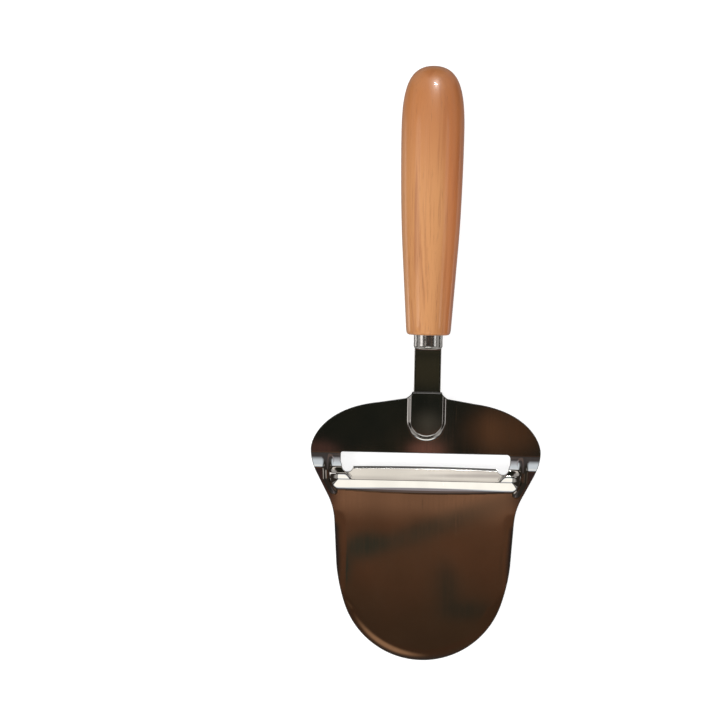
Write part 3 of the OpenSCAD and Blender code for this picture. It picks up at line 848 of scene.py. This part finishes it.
# ---------------------------------------------------------------- studio
def build_world():
    """Plain white light for matt surfaces; reflections see a painted room instead.

    The room's patches are placed by direction. Their places and colours follow what the
    photographed sheet reflects towards the camera, so the sheet looks like it from straight
    above only. Other views reflect other parts of the room.
    """
    world = bpy.data.worlds.new("studio")
    bpy.context.scene.world = world
    world.use_nodes = True
    g = Graph(world.node_tree)
    d = g.node("ShaderNodeTexCoord").outputs["Generated"]
    dx, dy, dz = g.node("ShaderNodeSeparateXYZ", {0: d}).outputs
    wide, deep = g.math("ABSOLUTE", dx), g.math("ABSOLUTE", dy)

    def spot(sky, colour, centre, radius, turn=0.0, soft=0.5, strength=1.0):
        """A soft-edged ellipse of colour around a direction, given by its x and y."""
        c, s = math.cos(math.radians(turn)), math.sin(math.radians(turn))
        squares = []
        for size, cx, cy in ((radius[0], c, s), (radius[1], -s, c)):
            shift = -(centre[0] * cx + centre[1] * cy) / size
            u = g.math("MULTIPLY_ADD", dx, cx / size, shift)
            u = g.math("MULTIPLY_ADD", dy, cy / size, u)
            squares.append(g.math("MULTIPLY", u, u))
        r = g.math("SQRT", g.math("ADD", *squares))
        return g.mix(g.range(r, 1 - soft, 1 + soft, strength, 0.0), sky, colour)

    # the ceiling straight above: near black over the upper plate, brown over the tongue
    cloud = g.noise(d, 26, 3, 0.55)
    night = g.range(cloud, 0.35, 0.65)
    night = g.mix(night, rgb(0.011, 0.013, 0.010), rgb(0.019, 0.018, 0.012))
    aside = g.math("ABSOLUTE", g.math("SUBTRACT", dx, 0.024))
    glow = g.math("MULTIPLY", g.range(dy, -0.0585, -0.049), g.range(aside, 0.0335, 0.0285))
    brown = g.mix(glow, rgb(0.118, 0.050, 0.024), rgb(0.31, 0.147, 0.078))
    brown = g.mix(g.range(dy, -0.062, -0.098), brown, rgb(0.060, 0.028, 0.014))
    brown = g.mix(g.range(cloud, 0.42, 0.62, 0.0, 0.3), brown, rgb(0.05, 0.034, 0.018))
    sky = g.mix(g.range(dy, -0.034, -0.044), night, brown)
    # warm patches over the right shoulder, under the tunnel and at the left shoulder
    sky = spot(sky, rgb(0.088, 0.040, 0.019), (0.052, -0.0245), (0.012, 0.0075), 0, 0.7)
    sky = spot(sky, rgb(0.135, 0.060, 0.028), (0.047, -0.0235), (0.003, 0.006), 4, 0.8, 0.7)
    sky = spot(sky, rgb(0.21, 0.088, 0.062), (0.024, -0.0315), (0.006, 0.003), 0, 0.6)
    sky = spot(sky, rgb(0.12, 0.055, 0.042), (-0.0133, -0.0318), (0.006, 0.0024), -8, 0.6, 0.8)
    sky = spot(sky, rgb(0.085, 0.076, 0.058), (0.0245, -0.0225), (0.0040, 0.0040), 0, 0.8, 0.8)
    sky = spot(sky, rgb(0.042, 0.036, 0.021), (0.0240, -0.0030), (0.0120, 0.0060), 0, 0.6)
    # dark shapes across the tongue
    shade, umber = rgb(0.036, 0.038, 0.026), rgb(0.030, 0.027, 0.018)
    sky = spot(sky, shade, (0.026, -0.0590), (0.032, 0.0030), 21, 0.8, 0.75)
    sky = spot(sky, shade, (0.0030, -0.0650), (0.0075, 0.0038), 10, 0.6, 0.9)
    sky = spot(sky, shade, (-0.0065, -0.0735), (0.0045, 0.0055), 0, 0.7, 0.9)
    sky = spot(sky, umber, (0.0325, -0.0790), (0.0032, 0.0080), 5, 0.7, 0.85)
    sky = spot(sky, umber, (0.0385, -0.0875), (0.0085, 0.0032), 0, 0.7, 0.85)
    # what the falling edge of the tongue sees: dark at the sides, tan at the lower left
    tan, gloom = rgb(0.40, 0.21, 0.11), rgb(0.024, 0.019, 0.017)
    sky = spot(sky, gloom, (-0.095, -0.075), (0.045, 0.06), 0, 0.35)
    sky = spot(sky, gloom, (0.143, -0.075), (0.045, 0.06), 0, 0.35)
    sky = spot(sky, rgb(0.036, 0.023, 0.024), (-0.0165, -0.0445), (0.0085, 0.010), 0, 0.35, 0.85)
    sky = spot(sky, rgb(0.036, 0.023, 0.022), (0.0645, -0.0445), (0.0085, 0.010), 0, 0.35, 0.85)
    sky = spot(sky, tan, (-0.004, -0.131), (0.026, 0.013), -30, 0.6, 0.9)
    # beyond it the room is dark, with soft boxes in front, behind and at the sides
    room = rgb(0.034, 0.028, 0.022)
    sky = g.mix(g.range(dy, -0.14, -0.175), sky, room)
    sky = g.mix(g.range(wide, 0.14, 0.20), sky, room)
    behind = g.range(g.noise(d, 14, 1, 0.4), 0.38, 0.60)
    behind = g.mix(behind, rgb(0.72, 0.66, 0.61), rgb(1.15, 1.08, 0.97))
    sky = spot(sky, rgb(0.075, 0.064, 0.062), (0.0, -0.36), (0.24, 0.16), 0, 0.5)
    sky = spot(sky, rgb(0.86, 0.93, 0.99), (0.0, -0.57), (0.30, 0.13), 0, 0.5)
    sky = spot(sky, rgb(0.16, 0.115, 0.10), (0.024, -0.29), (0.031, 0.11), 0, 0.12)
    sky = spot(sky, rgb(0.40, 0.36, 0.38), (0.024, -0.46), (0.031, 0.10), 0, 0.3)
    sky = spot(sky, rgb(1.55, 1.50, 1.38), (0.0, -0.71), (0.40, 0.13), 0, 0.2)
    sky = spot(sky, behind, (0.0, 0.73), (0.60, 0.14), 0, 0.4)
    sky = spot(sky, rgb(0.60, 0.54, 0.49), (-0.40, -0.02), (0.09, 0.11), 0, 0.4)
    sky = spot(sky, rgb(0.10, 0.07, 0.05), (0.42, -0.04), (0.10, 0.14), 0, 0.4)
    sky = spot(sky, rgb(1.7, 1.63, 1.58), (-0.82, -0.05), (0.11, 0.15), 0, 0.3)
    sky = spot(sky, rgb(1.3, 1.28, 1.25), (0.82, -0.05), (0.07, 0.15), 0, 0.3)
    # pale walls in the corners and low down at the sides, and the table far below
    corner = g.range(g.math("MINIMUM", wide, deep), 0.40, 0.55)
    sky = g.mix(corner, sky, rgb(0.50, 0.48, 0.45))
    low = g.math("MULTIPLY", g.range(dz, 0.36, 0.20), g.range(dz, -0.15, 0.0))
    low = g.math("MULTIPLY", low, g.range(wide, 0.30, 0.45))
    sky = g.mix(low, sky, rgb(0.42, 0.40, 0.38))
    sky = g.mix(g.range(dz, -0.45, -0.65), sky, rgb(0.30, 0.29, 0.28))
    rays = g.node("ShaderNodeLightPath")
    ambient = g.range(dz, -0.2, 0.9, 0.30, 0.98, "LINEAR")
    soft_white = g.mix(rays.outputs["Is Diffuse Ray"], rgb(1.0, 1.0, 1.0), ambient)
    colour = g.mix(rays.outputs["Is Glossy Ray"], soft_white, sky)
    back = g.node("ShaderNodeBackground", {"Strength": 1.0})
    g.set(back.inputs["Color"], colour)
    out = g.node("ShaderNodeOutputWorld")
    g.tree.links.new(back.outputs[0], out.inputs[0])


def area_light(name, place, target, size, power, colour=(1, 1, 1), glossy=True):
    """A rectangular lamp that shows either in reflections or on matt surfaces, not in both."""
    light = bpy.data.lights.new(name, "AREA")
    light.shape = "RECTANGLE"
    light.size, light.size_y = size
    light.energy = power
    light.color = colour
    obj = bpy.data.objects.new(name, light)
    bpy.context.scene.collection.objects.link(obj)
    obj.location = place
    obj.rotation_euler = (Vector(target) - Vector(place)).to_track_quat("-Z", "Y").to_euler()
    obj.visible_glossy, obj.visible_diffuse = glossy, not glossy


def build_camera():
    """Straight down over a point left of the tool, as in the photograph."""
    up = CAMERA_UP.normalized()
    right = up.cross(Vector((0, 0, 1)))
    camera = bpy.data.cameras.new("camera")
    camera.sensor_width = SENSOR
    camera.lens = SENSOR * CAMERA_HEIGHT / CAMERA_FIELD
    camera.clip_start, camera.clip_end = 0.05, 20
    obj = bpy.data.objects.new("camera", camera)
    bpy.context.scene.collection.objects.link(obj)
    rotation = Matrix((right, up, Vector((0, 0, 1)))).transposed()
    place = (CAMERA_X, CAMERA_Y, EDGE_Z + PLATE_Z * MM + CAMERA_HEIGHT)
    obj.matrix_world = Matrix.Translation(place) @ rotation.to_4x4()
    bpy.context.scene.camera = obj


def build_floor():
    half, z = 1.5, CAD_BOX[0].z - 0.0005
    mesh = bpy.data.meshes.new("floor")
    corners = [(-half, -half, z), (half, -half, z), (half, half, z), (-half, half, z)]
    mesh.from_pydata(corners, [], [(0, 1, 2, 3)])
    obj = bpy.data.objects.new("floor", mesh)
    bpy.context.scene.collection.objects.link(obj)
    mesh.materials.append(pale_floor("pale_floor"))
    obj.visible_glossy = obj.visible_diffuse = False


def build_studio():
    scene = bpy.context.scene
    scene.view_settings.view_transform = "Standard"
    scene.view_settings.look = "None"
    build_world()
    area_light("key", (-0.7, -0.3, 0.9), (0, 0, 0), (0.5, 0.5), 4, (1, 0.99, 0.97), False)
    # a small lamp behind the handle, seen only as the highlight on its round end
    area_light("highlight", (0.034, 0.30, 0.25), (0, 0.11, 0.012), (0.050, 0.018), 0.7)
    build_camera()
    build_floor()


# ---------------------------------------------------------------- put together
steel_plate = polished_steel("polished_plate")
steel_small = polished_steel("polished_fittings", 0.25)
build_blade(steel_plate)
build_shank(steel_small)
build_ferrule(polished_steel("satin_ferrule", 0.2, satin=0.17))
build_handle(varnished_wood("varnished_cherry"))
inner = {"tang_adhesive": hardened_glue("hardened_glue"), "spot_welds": weld_metal("weld_metal")}
for node, material in inner.items():
    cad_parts[node].data.materials.clear()
    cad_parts[node].data.materials.append(material)

build_studio()
